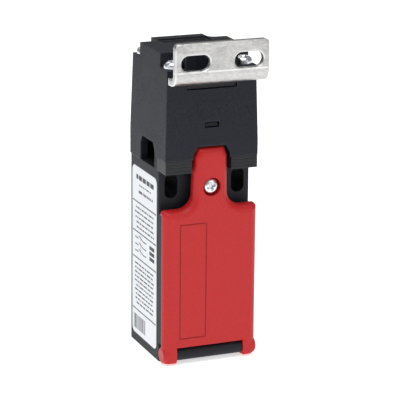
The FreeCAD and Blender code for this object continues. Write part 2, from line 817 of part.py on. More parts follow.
def make_guide(name, turned):
    """A plastic frame with a funnel mouth that leads the tongue into the head.

    It is drawn for the top slot and, for the front slot, in the same section turned to the front face.
    """
    half_w, half_h = "guide_width / 2", "guide_height / 2"
    gap = "key_thick / 2 + ample"
    slot_half = "tongue_width / 2 + ample"
    mouth = "guide_mouth"
    if turned:
        outer = "mid_y - cavity_reach - guide_thick"
        inner = "mid_y - cavity_reach"
        centre = "axis_height + guide_centre"
        slot = "axis_height + tongue_reach"
        frame = block(around("0", half_w), (outer, inner), around(centre, half_h))
        throat = block(around("0", slot_half), (f"{outer} - 1", f"{inner} + 1"), around(slot, gap))
        funnel = prism("side", f"-({slot_half})", f"2 * ({slot_half})", [
            (f"{outer} - 0.1", f"{slot} - {gap} - {mouth}"),
            (f"{outer} + {mouth}", f"{slot} - {gap} + 0.1"),
            (f"{outer} + {mouth}", f"{slot} + {gap} - 0.1"),
            (f"{outer} - 0.1", f"{slot} + {gap} + {mouth} / 4"),
        ])
    else:
        outer = "roof + guide_thick"
        inner = "roof"
        centre = "mid_y + guide_centre"
        slot = "mid_y + tongue_reach"
        frame = block(around("0", half_w), around(centre, half_h), (inner, outer))
        throat = block(around("0", slot_half), around(slot, gap), (f"{inner} - 1", f"{outer} + 1"))
        funnel = prism("side", f"-({slot_half})", f"2 * ({slot_half})", [
            (f"{slot} - {gap} - {mouth}", f"{outer} + 0.1"),
            (f"{slot} - {gap} + 0.1", f"{outer} - {mouth}"),
            (f"{slot} + {gap} - 0.1", f"{outer} - {mouth}"),
            (f"{slot} + {gap} + {mouth} / 4", f"{outer} + 0.1"),
        ])
    return keep(name, cut(frame, throat, funnel, name=name + "_cut"))


def make_cradle():
    centre = ("0", "mid_y")
    parts = [
        block(around("0", "cavity_reach"), around("mid_y", "cavity_reach"), ("plate_low", "plate_top")),
        rod("z", centre, "spigot_round", "spigot_low", "plate_low + 1"),
    ]
    hollows = [
        ring("z", centre, "spigot_round + 1", "groove_round", "clip_low - loose", "clip_high + loose"),
        rod("z", centre, "plunger_round + run", "spigot_low - 1", "plate_top + 1"),
    ]
    for _, _, x, y in quarter_spots("screw_at"):
        parts.append(rod("z", (x, y), "boss_round", "boss_low", "plate_top"))
        hollows.append(rod("z", (x, y), "head_screw_core + slip", "boss_low - 1", "plate_top + 1"))
    for sign in (-1, 1):
        parts.append(block(side(sign, "cheek_gap / 2", "cheek_gap / 2 + cheek_thick"),
                           around("mid_y", "cheek_depth / 2"), ("plate_low", "plate_top + cheek_height")))
        # snap hook: a stalk behind the wall and a nose that stands in the small window
        stalk, nose = "cavity_reach - loose", "cavity_reach + skirt_wall - 2 * free"
        if sign > 0:
            stalk_y = (f"mid_y + {stalk} - 1.2", f"mid_y + {stalk}")
            nose_y = (f"mid_y + {stalk} - 1", f"mid_y + {nose}")
        else:
            stalk_y = (f"mid_y - ({stalk})", f"mid_y - ({stalk}) + 1.2")
            nose_y = (f"mid_y - ({nose})", f"mid_y - ({stalk}) + 1")
        width = around("0", "latch_width / 2 - 2 * free")
        parts.append(block(width, stalk_y, ("plate_low", "latch_high")))
        parts.append(block(width, nose_y, ("latch_low + free", "latch_high - 2 * free")))
    hollows.append(rod("x", ("mid_y", "axis_height"), "shaft_round + slip", "-half_width", "half_width"))
    return keep("cam_cradle", cut(fuse(*parts), *hollows, name="cradle_cut"))


def make_clip():
    foot_x = ("window_width / 2 + 2 * free", "head_side / 2 - loose")
    z = ("clip_low", "clip_high")
    parts = []
    grooves = []
    for sign in (-1, 1):
        parts.append(block(side(sign, *foot_x), ("-head_side - head_setback", "-clip_back"), z))
        parts.append(block(side(sign, "prong_inner", "prong_outer"),
                           ("-lip_back + 2 * free", "mid_y + prong_reach"), z))
        for step in range(3):
            height = f"clip_low + {step + 1} * clip_thick / 4"
            grooves.append(block(side(sign, foot_x[0], foot_x[1]),
                                 ("-head_side - head_setback - 1", "-head_side - head_setback + rib_sink"),
                                 around(height, "rib_sink / 2")))
    parts.append(block(around("0", "prong_outer"), ("-lip_back + 2 * free", "mid_y - turret_round - loose"), z))
    return keep("head_clip", cut(fuse(*parts), *grooves, name="clip_cut"))


# Drum, shaft and key

def make_drum():
    """The drum's section is arcs round the shaft, a tooth and one spiral that presses the plunger."""
    low, rise, turn = number("cam_low"), number("cam_rise"), number("cam_turn")
    core, tooth, bore = number("drum_round"), number("tooth_round"), number("shaft_round") + number("run")
    width = number("drum_width")
    hub, hub_width = number("hub_round"), number("cheek_gap") - 2 * number("free")
    overrun = 8.0
    tip_reach = number("-tongue_tip - mid_y + ample")
    under = number("tongue_reach") - number("key_thick") / 2
    tooth_front = math.degrees(math.atan2(under, tip_reach))
    tooth_back = tooth_front - number("tooth_angle")
    base_start = -50.0

    def at(radius, angle):
        return FreeCAD.Vector(0, radius * math.cos(math.radians(angle)), radius * math.sin(math.radians(angle)))

    def arc(radius, start, end):
        return Part.Arc(at(radius, start), at(radius, (start + end) / 2), at(radius, end)).toShape()

    def step(radius_a, radius_b, angle):
        return Part.LineSegment(at(radius_a, angle), at(radius_b, angle)).toShape()

    spiral = []
    for index in range(9):
        share = index / 8 * (turn + overrun) / turn
        spiral.append(at(low + rise * share, -90.0 - turn * share))
    curve = Part.BSplineCurve()
    curve.interpolate(spiral)
    far = low + rise * (turn + overrun) / turn
    end = -90.0 - turn - overrun
    outline = [
        arc(low, base_start, -90.0),
        curve.toShape(),
        step(far, core, end),
        arc(core, end, tooth_front - 360.0),
        step(core, tooth, tooth_front),
        arc(tooth, tooth_front, tooth_back),
        step(tooth, core, tooth_back),
        arc(core, tooth_back, base_start),
        step(core, low, base_start),
    ]
    face = Part.Face(Part.Wire(outline))
    drum = face.extrude(FreeCAD.Vector(width, 0, 0))
    drum.translate(FreeCAD.Vector(-width / 2, 0, 0))
    along_x = FreeCAD.Vector(1, 0, 0)
    hubs = Part.makeCylinder(hub, hub_width, FreeCAD.Vector(-hub_width / 2, 0, 0), along_x)
    hole = Part.makeCylinder(bore, width * 2, FreeCAD.Vector(-width, 0, 0), along_x)
    item = add("Part::Feature", "drum")
    item.Shape = drum.fuse(hubs).cut(hole).removeSplitter()
    item.Placement = FreeCAD.Placement(
        FreeCAD.Vector(0, number("mid_y"), number("axis_height") - number("slot_height")), FreeCAD.Rotation())
    keep("cam_drum", item)
    keep("cam_shaft", rod("x", ("mid_y", "axis_height"), "shaft_round", "-shaft_length / 2", "shaft_length / 2"))


def make_key():
    thick, bend = "key_thick", "key_bend"
    low = f"tongue_mid - {thick} / 2"
    high = f"tongue_mid + {thick} / 2"
    body = new_body("key_plate")
    pad(body, "front", f"key_front - {thick}", thick,
        rectangle(("-key_width / 2", "key_width / 2"), (f"{high} + {bend}", "key_top")))
    top = number("key_top")
    fillet(body, "key_corner", lambda edge, at: along(edge, "y") and near(at.z, top))
    wide = around("0", "key_width / 2")
    axis = (f"-key_front + {thick} + {bend}", f"{high} + {bend}")
    bend_room = block(wide, ("-key_front", axis[0]), (low, axis[1]))
    shell = ring("x", axis, f"{bend} + {thick}", bend, "-key_width / 2", "key_width / 2")
    corner = add("Part::Common", "key_bend_corner")
    corner.Base = shell
    corner.Tool = bend_room
    flange = block(wide, (axis[0], "-flange_back"), (low, high))
    tongue = block(around("0", "tongue_width / 2"), (axis[0], "-tongue_tip"), (low, high))
    holes = []
    for sign in (-1, 1):
        holes.append(obround((f"{sign} * key_slot_spacing / 2", "key_slot_height"), "key_slot_width",
                             "key_slot_length", "x", ("-key_front - 1", f"-key_front + {thick} + 1")))
        corner_cut = prism("top", f"{low} - 1", f"{thick} + 2", [
            (f"{sign} * tongue_width / 2 - {sign} * 1.5", "-tongue_tip + 0.1"),
            (f"{sign} * (tongue_width / 2 + 0.1)", "-tongue_tip - 1.5"),
            (f"{sign} * (tongue_width / 2 + 0.1)", "-tongue_tip + 0.1"),
        ])
        holes.append(corner_cut)
    holes.append(block(around("0", "tongue_width / 4"), ("-tongue_tip - 7.5", "-tongue_tip - 2.5"),
                       (f"{low} - 1", f"{high} + 1")))
    return keep("actuator_key", cut(fuse(body, corner, flange, tongue), *holes, name="key_cut"))


# Plunger, seals and contacts

def make_plunger():
    centre = ("0", "mid_y")
    keep("plunger", fuse(
        rod("z", centre, "plunger_round", "carrier_top", "plunger_top - plunger_tip"),
        cone("z", centre, "plunger_round", "plunger_tip", "plunger_top - plunger_tip", "plunger_top"),
        name="push_rod"))
    keep("plunger_seal", ring("z", centre, "seal_round", "plunger_round + run", "seal_floor", "socket_floor",
                              name="lip_ring"))
    keep("head_seal", ring("z", centre, "spigot_round - loose", "seal_round + free", "socket_floor", "spigot_low",
                           name="flat_ring"))


# Each row: name, height formula, whether its bridge makes (1) or breaks (-1)
ROWS = [
    ("nc_lower", "row_low", -1),
    ("nc_upper", "row_low + row_pitch", -1),
    ("no", "row_top", 1),
]


def bridge_span(height, makes):
    """The bridge plate's height span, and the side on which its spring lies."""
    if makes > 0:
        low = f"{height} + bridge_lift + bridge_tip"
    else:
        low = f"{height} - bridge_drop - bridge_thick"
    return (low, f"{low} + bridge_thick")


def spring_span(height, makes):
    low, high = bridge_span(height, makes)
    if makes > 0:
        return (high, f"{high} + spring_length")
    return (f"{low} - spring_length", low)


def make_contacts():
    centre = ("0", "mid_y")
    half_d = "carrier_depth / 2"
    windows = []
    for name, height, makes in ROWS:
        plate = bridge_span(height, makes)
        spring = spring_span(height, makes)
        low = plate[0] if makes > 0 else spring[0]
        high = spring[1] if makes > 0 else plate[1]
        windows.append(block(around("0", "carrier_width"), around("mid_y", "bridge_width / 2 + free"),
                             (low, f"{high} + loose")))
        tips = []
        for sign in (-1, 1):
            spot = (f"{sign} * contact_x", "mid_y")
            span = (f"{plate[0]} - bridge_tip", f"{plate[0]} + 0.1")
            if makes < 0:
                span = (f"{plate[1]} - 0.1", f"{plate[1]} + bridge_tip")
            tips.append(rod("z", spot, "contact_round", *span))
        strip = block(around("0", "contact_x + contact_round + loose"), around("mid_y", "bridge_width / 2"), plate)
        keep("bridge_" + name, fuse(strip, *tips, name="bridge"))
        coil("bridge_spring_" + name, centre, "spring_round", "wire_thick", *spring, 4)
    bar = block(around("0", "carrier_width / 2"), around("mid_y", half_d), ("carrier_low", "carrier_top"))
    keep("contact_carrier", cut(bar, *windows, name="carrier_cut"))
    coil("return_spring", centre, "return_round", "return_wire", "foot_height + case_wall / 2", "carrier_low", 4)


def make_block():
    """The moulded block: a wide upper part with six terminal pockets and a narrow waist for the wires."""
    z_top = "block_top"
    whole = fuse(
        block(around("0", "block_width / 2"), ("-block_front", "-back_wall"), ("waist_height", z_top)),
        block(around("0", "waist_width / 2"), ("-block_front", "-back_wall"), ("foot_height", "waist_height + 1")),
    )
    hollows = [block(around("0", "channel_width / 2"), around("mid_y", "channel_depth / 2"),
                     ("foot_height + case_wall / 2", f"{z_top} + 1"))]
    for _, height, _ in ROWS:
        for sign in (-1, 1):
            pocket_x = side(sign, "channel_width / 2 + case_wall / 2", "block_width / 2 + 1")
            hollows.append(block(pocket_x, ("-block_front - 1", "-pocket_floor"),
                                 around(height, "pocket_height / 2")))
            slot_x = side(sign, "channel_width / 2 - 1", "channel_width / 2 + case_wall")
            hollows.append(block(slot_x, ("-terminal_face - loose", "mid_y + 2.1"),
                                 around(height, "terminal_thick / 2 + loose")))
    keep("contact_block", cut(whole, *hollows, name="block_cut"))


def make_terminals():
    screws, clamps = [], []
    for name, height, makes in ROWS:
        for sign, hand in ((-1, "left"), (1, "right")):
            spot = (f"{sign} * terminal_x", height)
            wall = "channel_width / 2 + case_wall / 2 + ample"
            plate = block(side(sign, wall, "block_width / 2 - ample"),
                          ("-terminal_face", "-terminal_face + terminal_thick"),
                          around(height, "pocket_height / 2 - loose"))
            arm = block(side(sign, wall, f"{wall} + terminal_thick"), ("-terminal_face", "mid_y + 2"),
                        around(height, "terminal_thick / 2"))
            blade = block(side(sign, "carrier_width / 2 + ample", f"{wall} + terminal_thick"),
                          around("mid_y", "2"), around(height, "terminal_thick / 2"))
            face = f"{height} + {makes} * terminal_thick / 2"
            span = (f"{face} - 0.1", f"{face} + contact_high")
            if makes < 0:
                span = (f"{face} - contact_high", f"{face} + 0.1")
            button = rod("z", (f"{sign} * contact_x", "mid_y"), "contact_round", *span)
            hole = rod("y", spot, "screw_core_round + slip", "-terminal_face - 1",
                       "-terminal_face + terminal_thick + 1")
            keep(f"terminal_{name}_{hand}", cut(fuse(plate, arm, blade, button), hole, name="terminal"))
            clamp_face = "-terminal_face - wire_gap"
            clamp = block(around(spot[0], "clamp_side / 2 - free"), (f"{clamp_face} - clamp_thick", clamp_face),
                          around(height, "clamp_side / 2"))
            clamps.append(cut(clamp, rod("y", spot, "screw_core_round + free", f"{clamp_face} - 2",
                                         f"{clamp_face} + 1")))
            seat = f"{clamp_face} - clamp_thick"
            screws.append(front_screw(spot, f"{seat} - screw_head_high", "screw_head_round", "screw_head_high",
                                      "screw_core_round", "-pocket_floor - ample", "terminal_screw"))
    for name, members in (("terminal_screws", screws), ("wire_clamps", clamps)):
        group = add("Part::Compound", name + "_group")
        group.Links = members
        keep(name, group)


make_case()
make_label()
make_cover()
make_cover_fittings()
make_head()
make_head_screws()
make_guide("front_key_guide", True)
make_guide("top_key_guide", False)
make_cradle()
make_clip()
make_drum()
make_key()
make_plunger()
make_contacts()
make_block()
make_terminals()
doc.recompute()

# Check every object, then write one file for each node
for item in doc.Objects:
    if {"Invalid", "Error"} & set(item.State):
        raise ValueError(f"{item.Name} failed: {item.State}")
os.makedirs("parts", exist_ok=True)
for name, item in nodes.items():
    shape = item.Shape
    if shape.isNull() or not shape.isValid() or not shape.Solids:
        raise ValueError(f"{name} has no valid solid")
    shape.exportStep(f"parts/{name}.step")
    box = shape.BoundBox
    print(f"{name}: {len(shape.Solids)} solids, {shape.Volume:.1f} mm3, "
          f"x {box.XMin:.1f} {box.XMax:.1f} y {box.YMin:.1f} {box.YMax:.1f} z {box.ZMin:.1f} {box.ZMax:.1f}")
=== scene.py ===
import bpy, bmesh, json, math, random
from mathutils import Matrix, Vector


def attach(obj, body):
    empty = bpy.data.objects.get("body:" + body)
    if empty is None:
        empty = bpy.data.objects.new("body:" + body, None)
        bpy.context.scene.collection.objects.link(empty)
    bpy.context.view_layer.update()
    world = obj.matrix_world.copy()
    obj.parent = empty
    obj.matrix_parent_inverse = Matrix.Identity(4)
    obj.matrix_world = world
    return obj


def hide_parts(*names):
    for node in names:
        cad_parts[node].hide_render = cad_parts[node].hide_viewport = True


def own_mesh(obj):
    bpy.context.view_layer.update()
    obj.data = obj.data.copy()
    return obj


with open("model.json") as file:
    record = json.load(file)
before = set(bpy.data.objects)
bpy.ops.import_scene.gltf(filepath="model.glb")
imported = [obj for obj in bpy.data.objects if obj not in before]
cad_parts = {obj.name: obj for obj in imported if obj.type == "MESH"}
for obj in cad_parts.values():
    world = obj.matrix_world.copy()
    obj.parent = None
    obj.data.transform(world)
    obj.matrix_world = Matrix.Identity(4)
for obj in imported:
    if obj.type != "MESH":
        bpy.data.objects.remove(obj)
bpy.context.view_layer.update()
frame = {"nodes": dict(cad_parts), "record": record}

mm = 0.001
slotHeight = 56.5       # the origin lies between the mounting slots, this far above the case's foot


def up(height):
    # a height over the case's foot, in millimetres, as a height in the scene
    return (height - slotHeight) * mm


cameraView = {"place": (-0.23491, -0.591, 0.16967), "lookAt": (0.0026, -0.015, -0.008425),
              "lens": 185.76, "sensor": 36.0, "clip": (0.01, 20), "roll": 0.535}


def makeCamera(view):
    place, target = Vector(view["place"]), Vector(view["lookAt"])
    ahead = (target - place).normalized()
    right = ahead.cross(Vector((0, 0, 1))).normalized()
    over = right.cross(ahead)
    roll = math.radians(view["roll"])
    tiltedRight = right * math.cos(roll) + over * math.sin(roll)
    tiltedUp = over * math.cos(roll) - right * math.sin(roll)
    turn = Matrix((tiltedRight, tiltedUp, -ahead)).transposed().to_4x4()
    data = bpy.data.cameras.new("photoCamera")
    data.lens = view["lens"]
    data.sensor_width = view["sensor"]
    data.clip_start, data.clip_end = view["clip"]
    camera = bpy.data.objects.new("photoCamera", data)
    camera.matrix_world = Matrix.Translation(place) @ turn
    bpy.context.scene.collection.objects.link(camera)
    bpy.context.scene.camera = camera


studioLamps = {
    "top": {"place": (-0.15, -0.25, 0.85), "size": 0.9, "power": 5.6, "tint": (1, 1, 1)},
    "left": {"place": (-0.95, -0.20, 0.40), "size": 0.7, "power": 1.1, "tint": (0.68, 0.84, 1)},
    "front": {"place": (0.45, -1.20, 0.45), "size": 0.9, "power": 2.5, "tint": (1, 0.99, 0.97)},
    "rear": {"place": (-0.10, 0.90, 0.90), "size": 0.7, "power": 1.5, "tint": (1, 1, 1)},
}
lampTarget = Vector((0, -0.01, 0))
worldLook = {"light": 0.27, "backdrop": 1.0}


def makeLamps(lamps):
    for name, lamp in lamps.items():
        data = bpy.data.lights.new(name + "Lamp", "AREA")
        data.shape, data.size, data.energy = "DISK", lamp["size"], lamp["power"]
        data.color = lamp["tint"]
        item = bpy.data.objects.new(name + "Lamp", data)
        item.location = lamp["place"]
        toTarget = lampTarget - Vector(lamp["place"])
        item.rotation_euler = toTarget.to_track_quat("-Z", "Y").to_euler()
        bpy.context.scene.collection.objects.link(item)


def makeWorld(look):
    # the dim background lights the object, the bright one is only the backdrop
    world = bpy.data.worlds.new("studioWorld")
    world.use_nodes = True
    tree = world.node_tree
    dim, bright = tree.nodes["Background"], tree.nodes.new("ShaderNodeBackground")
    path, choose = tree.nodes.new("ShaderNodeLightPath"), tree.nodes.new("ShaderNodeMixShader")
    for shader, strength in ((dim, look["light"]), (bright, look["backdrop"])):
        shader.inputs["Color"].default_value = (1, 1, 1, 1)
        shader.inputs["Strength"].default_value = strength
    tree.links.new(path.outputs["Is Camera Ray"], choose.inputs[0])
    tree.links.new(dim.outputs[0], choose.inputs[1])
    tree.links.new(bright.outputs[0], choose.inputs[2])
    tree.links.new(choose.outputs[0], tree.nodes["World Output"].inputs["Surface"])
    bpy.context.scene.world = world
    bpy.context.scene.view_settings.view_transform = "Standard"


makeCamera(cameraView)
makeLamps(studioLamps)
makeWorld(worldLook)
print("camera and lamps")


def nodeIn(tree, kind, label="", **values):
    node = tree.nodes.new(kind)
    node.label = label
    for name, value in values.items():
        node.inputs[name.replace("_", " ")].default_value = value
    return node


def mathIn(tree, operation, first, second=None):
    node = tree.nodes.new("ShaderNodeMath")
    node.operation = operation
    for index, value in enumerate((first, second)):
        if value is None:
            continue
        if isinstance(value, (int, float)):
            node.inputs[index].default_value = value
        else:
            tree.links.new(value, node.inputs[index])
    return node.outputs[0]


def newGroup(name, inputs, outputs):
    group = bpy.data.node_groups.new(name, "ShaderNodeTree")
    for label, kind, value in inputs:
        socket = group.interface.new_socket(label, in_out="INPUT", socket_type=kind)
        socket.default_value = value
    for label, kind in outputs:
        group.interface.new_socket(label, in_out="OUTPUT", socket_type=kind)
    return group, group.nodes.new("NodeGroupInput"), group.nodes.new("NodeGroupOutput")


noiseSpan = (0.3, 0.7)          # nearly all values of a noise lie in this span
speckleSpan = (0.36, 0.64)      # a narrower span makes the grain's specks stand out
speckleShare, cloudShare = 0.7, 0.3
edgeSpan = (0.02, 0.22)         # how far a rounded normal leans from the face's own at an edge


def spanIn(tree, value, fromSpan, toSpan=(0.0, 1.0)):
    # maps one span of values onto another
    node = tree.nodes.new("ShaderNodeMapRange")
    tree.links.new(value, node.inputs["Value"])
    for label, number in zip(("From Min", "From Max", "To Min", "To Max"), fromSpan + toSpan):
        node.inputs[label].default_value = number
    return node


def blendIn(tree, factor, first, second):
    # blends two colours, each given as a socket or as a plain value
    node = tree.nodes.new("ShaderNodeMix")
    node.data_type = "RGBA"
    for label, value in (("Factor", factor), ("A", first), ("B", second)):
        if isinstance(value, tuple):
            node.inputs[label].default_value = value
        else:
            tree.links.new(value, node.inputs[label])
    return node.outputs["Result"]


def sumIn(tree, first, firstShare, second, secondShare):
    return mathIn(tree, "ADD", mathIn(tree, "MULTIPLY", first, firstShare),
                  mathIn(tree, "MULTIPLY", second, secondShare))


def makeMouldGrain():
    # fine spark-eroded grain, with slow cloudy drift in colour and gloss
    group, given, result = newGroup("mouldGrain", [
        ("Dark", "NodeSocketColor", (0, 0, 0, 1)), ("Light", "NodeSocketColor", (1, 1, 1, 1)),
        ("Grain Scale", "NodeSocketFloat", 4000), ("Gloss Low", "NodeSocketFloat", 0.4),
        ("Gloss High", "NodeSocketFloat", 0.55)],
        [("Color", "NodeSocketColor"), ("Roughness", "NodeSocketFloat"), ("Height", "NodeSocketFloat")])
    link = group.links.new
    coord = group.nodes.new("ShaderNodeTexCoord")
    fine = nodeIn(group, "ShaderNodeTexNoise", "grain", Detail=4.0, Roughness=0.65)
    cloud = nodeIn(group, "ShaderNodeTexNoise", "cloud", Scale=95.0, Detail=3.0)
    link(coord.outputs["Object"], fine.inputs["Vector"])
    link(coord.outputs["Object"], cloud.inputs["Vector"])
    link(given.outputs["Grain Scale"], fine.inputs["Scale"])
    speckle = spanIn(group, fine.outputs["Fac"], speckleSpan)
    drift = sumIn(group, speckle.outputs["Result"], speckleShare, cloud.outputs["Fac"], cloudShare)
    gloss = spanIn(group, drift, noiseSpan)
    link(given.outputs["Gloss Low"], gloss.inputs["To Min"])
    link(given.outputs["Gloss High"], gloss.inputs["To Max"])
    colour = blendIn(group, drift, given.outputs["Dark"], given.outputs["Light"])
    link(colour, result.inputs["Color"])
    link(gloss.outputs["Result"], result.inputs["Roughness"])
    link(fine.outputs["Fac"], result.inputs["Height"])
    return group


def makeSoftEdge():
    # rounds the look of sharp edges and marks them; the mark paints edges lighter, as worn edges mixed with a
    # painted highlight
    group, given, result = newGroup("softEdge", [("Radius", "NodeSocketFloat", 0.0004)],
                                    [("Normal", "NodeSocketVector"), ("Edge", "NodeSocketFloat")])
    bevel = group.nodes.new("ShaderNodeBevel")
    bevel.samples = 6
    group.links.new(given.outputs["Radius"], bevel.inputs["Radius"])
    geometry = group.nodes.new("ShaderNodeNewGeometry")
    dot = group.nodes.new("ShaderNodeVectorMath")
    dot.operation = "DOT_PRODUCT"
    group.links.new(bevel.outputs["Normal"], dot.inputs[0])
    group.links.new(geometry.outputs["Normal"], dot.inputs[1])
    mask = spanIn(group, mathIn(group, "SUBTRACT", 1.0, dot.outputs["Value"]), edgeSpan)
    group.links.new(bevel.outputs["Normal"], result.inputs["Normal"])
    group.links.new(mask.outputs["Result"], result.inputs["Edge"])
    return group


def makeDrawnLines():
    # fine lines of brushing or turning, stretched along one axis
    group, given, result = newGroup("drawnLines", [("Stretch", "NodeSocketVector", (60, 3000, 3000))],
                                    [("Lines", "NodeSocketFloat"), ("Blotch", "NodeSocketFloat")])
    coord = group.nodes.new("ShaderNodeTexCoord")
    scaled = group.nodes.new("ShaderNodeVectorMath")
    scaled.operation = "MULTIPLY"
    group.links.new(coord.outputs["Object"], scaled.inputs[0])
    group.links.new(given.outputs["Stretch"], scaled.inputs[1])
    lines = nodeIn(group, "ShaderNodeTexNoise", "lines", Scale=1.0, Detail=5.0, Roughness=0.7)
    blotch = nodeIn(group, "ShaderNodeTexNoise", "blotch", Scale=140.0, Detail=2.0)
    group.links.new(scaled.outputs["Vector"], lines.inputs["Vector"])
    group.links.new(coord.outputs["Object"], blotch.inputs["Vector"])
    group.links.new(lines.outputs["Fac"], result.inputs["Lines"])
    group.links.new(blotch.outputs["Fac"], result.inputs["Blotch"])
    return group


groups = {"grain": makeMouldGrain(), "edge": makeSoftEdge(), "drawn": makeDrawnLines()}


def groupIn(tree, key, **values):
    node = tree.nodes.new("ShaderNodeGroup")
    node.node_tree = groups[key]
    for name, value in values.items():
        node.inputs[name.replace("_", " ")].default_value = value
    return node


def shade(hexColour):
    # an sRGB hex colour as linear values
    parts = [int(hexColour[i:i + 2], 16) / 255 for i in (0, 2, 4)]
    return tuple(c / 12.92 if c <= 0.04045 else ((c + 0.055) / 1.055) ** 2.4 for c in parts) + (1.0,)


def startMaterial(name):
    material = bpy.data.materials.new(name)
    material.use_nodes = True
    tree = material.node_tree
    return material, tree, tree.nodes["Principled BSDF"]


def bumpInto(tree, shader, height, strength, distance, normal=None):
    bump = nodeIn(tree, "ShaderNodeBump", "relief", Strength=strength, Distance=distance)
    tree.links.new(height, bump.inputs["Height"])
    if normal is not None:
        tree.links.new(normal, bump.inputs["Normal"])
    tree.links.new(bump.outputs["Normal"], shader.inputs["Normal"])


# depths, spans and distances in metres, the rest are shares
# how strongly edges are painted lighter: wear mixed with a painted highlight
plasticLook = {"rubbedAndHighlit": 0.55, "depth": 0.00012}
# the near-white edge colour of metals stands for wear mixed with a painted highlight
metalLook = {"lines": 0.6, "blotch": 0.4, "depth": 0.00005, "waveDepth": 0.0006,
             "wornAndHighlit": (0.97, 0.97, 0.96, 1)}
# the painted highlight line along the plate's bend
bendHighlightLook = {"span": (0.00005, 0.00045), "strength": 1.15}


def makePlastic(name, dark, light, edge, gloss, grainScale=2600, relief=0.3, edgeRadius=0.00035,
                sheen=0.0, shine=0.23):
    material, tree, shader = startMaterial(name)
    grain = groupIn(tree, "grain", Dark=shade(dark), Light=shade(light), Grain_Scale=grainScale,
                    Gloss_Low=gloss[0], Gloss_High=gloss[1])
    soft = groupIn(tree, "edge", Radius=edgeRadius)
    # painted highlight mixed with wear: edges are blended towards the lighter edge colour
    rubbedAndHighlit = mathIn(tree, "MULTIPLY", soft.outputs["Edge"], plasticLook["rubbedAndHighlit"])
    tree.links.new(blendIn(tree, rubbedAndHighlit, grain.outputs["Color"], shade(edge)), shader.inputs["Base Color"])
    tree.links.new(grain.outputs["Roughness"], shader.inputs["Roughness"])
    shader.inputs["Specular IOR Level"].default_value = shine
    shader.inputs["Sheen Weight"].default_value = sheen
    bumpInto(tree, shader, grain.outputs["Height"], relief, plasticLook["depth"], soft.outputs["Normal"])
    return material


def bendHighlightMask(tree, height, blotch):
    # a painted highlight: a bright uneven line across the plate at this height, where its bend catches the
    # light
    coord = tree.nodes.new("ShaderNodeTexCoord")
    apart = tree.nodes.new("ShaderNodeSeparateXYZ")
    tree.links.new(coord.outputs["Object"], apart.inputs["Vector"])
    away = mathIn(tree, "ABSOLUTE", mathIn(tree, "SUBTRACT", apart.outputs["Z"], up(height)))
    line = spanIn(tree, away, bendHighlightLook["span"], (1.0, 0.0))
    line.interpolation_type = "SMOOTHSTEP"
    return mathIn(tree, "MULTIPLY", line.outputs["Result"],
                  mathIn(tree, "MULTIPLY", blotch, bendHighlightLook["strength"]))


def makeMetal(name, dark, light, gloss, stretch, relief=0.06, edgeRadius=0.00025, wave=0.15, bendHighlightHeight=None):
    material, tree, shader = startMaterial(name)
    drawn = groupIn(tree, "drawn", Stretch=stretch)
    soft = groupIn(tree, "edge", Radius=edgeRadius)
    lines, blotch = drawn.outputs["Lines"], drawn.outputs["Blotch"]
    streak = spanIn(tree, lines, noiseSpan)
    mottle = sumIn(tree, streak.outputs["Result"], metalLook["lines"], blotch, metalLook["blotch"])
    tint = blendIn(tree, mottle, shade(dark), shade(light))
    # painted highlight mixed with wear: edges, and the bend line where one is given, blend towards a
    # near-white colour
    bright = soft.outputs["Edge"]
    if bendHighlightHeight is not None:
        bright = mathIn(tree, "MAXIMUM", bright, bendHighlightMask(tree, bendHighlightHeight, blotch))
    tree.links.new(blendIn(tree, bright, tint, metalLook["wornAndHighlit"]), shader.inputs["Base Color"])
    tree.links.new(spanIn(tree, lines, noiseSpan, gloss).outputs["Result"], shader.inputs["Roughness"])
    shader.inputs["Metallic"].default_value = 1.0
    wavy = nodeIn(tree, "ShaderNodeBump", "waviness", Strength=wave, Distance=metalLook["waveDepth"])
    tree.links.new(blotch, wavy.inputs["Height"])
    tree.links.new(soft.outputs["Normal"], wavy.inputs["Normal"])
    bumpInto(tree, shader, lines, relief, metalLook["depth"], wavy.outputs["Normal"])
    return material


# each plastic's third colour is its edge colour, a painted highlight mixed with wear
finishes = {
    "case_plastic": makePlastic("caseBlack", "0a0b0f", "26282f", "5a5c64", (0.44, 0.62)),
    "head_plastic": makePlastic("headBlack", "08090e", "272a34", "5c5f69", (0.44, 0.62), 2200,
                                edgeRadius=0.0005),
    "guide_plastic": makePlastic("guideBlack", "1b1b1e", "2a2a2e", "5a5a60", (0.34, 0.46), relief=0.06),
    "cover_plastic": makePlastic("coverRed", "af1719", "c62224", "cb3a3a", (0.34, 0.46), 2600, 0.14,
                                 0.0004, shine=0.34),
    "inner_plastic": makePlastic("cradleBlack", "0a0a0b", "161618", "38383c", (0.42, 0.55), 2600, 0.08,
                                 0.0003),
    "block_plastic": makePlastic("blockGrey", "b3b3a8", "c6c6bc", "dcdcd4", (0.42, 0.55), 2400, 0.08, 0.0003),
    "carrier_plastic": makePlastic("carrierIvory", "c9c0a2", "ddd5ba", "eee8d4", (0.36, 0.5), 2400, 0.06,
                                   0.0002),
    "rubber": makePlastic("sealRubber", "101011", "1a1a1b", "2c2c2e", (0.62, 0.78), 5200, 0.2, 0.0002, 0.15),
    "zinc": makeMetal("zincPlate", "cfd2d8", "f4f6fa", (0.16, 0.32), (700, 700, 700)),
    # the stainless plate gets a painted highlight line along its bend at 94.5 mm
    "steel": makeMetal("satinStainless", "9a9a99", "dad9d6", (0.24, 0.40), (700, 1500, 1500), 0.16, 0.0011,
                       0.7, bendHighlightHeight=94.5),
    "pin_steel": makeMetal("groundSteel", "9fa1a5", "cfd0d3", (0.18, 0.30), (2400, 300, 300)),
    "spring_steel": makeMetal("springWire", "8e9094", "c4c6ca", (0.2, 0.34), (900, 900, 900)),
    "brass": makeMetal("turnedBrass", "a8803c", "dab565", (0.2, 0.34), (900, 2600, 900)),
    "contact_metal": makeMetal("contactStrip", "b08a4a", "dcbc7c", (0.2, 0.36), (80, 2200, 2200)),
}


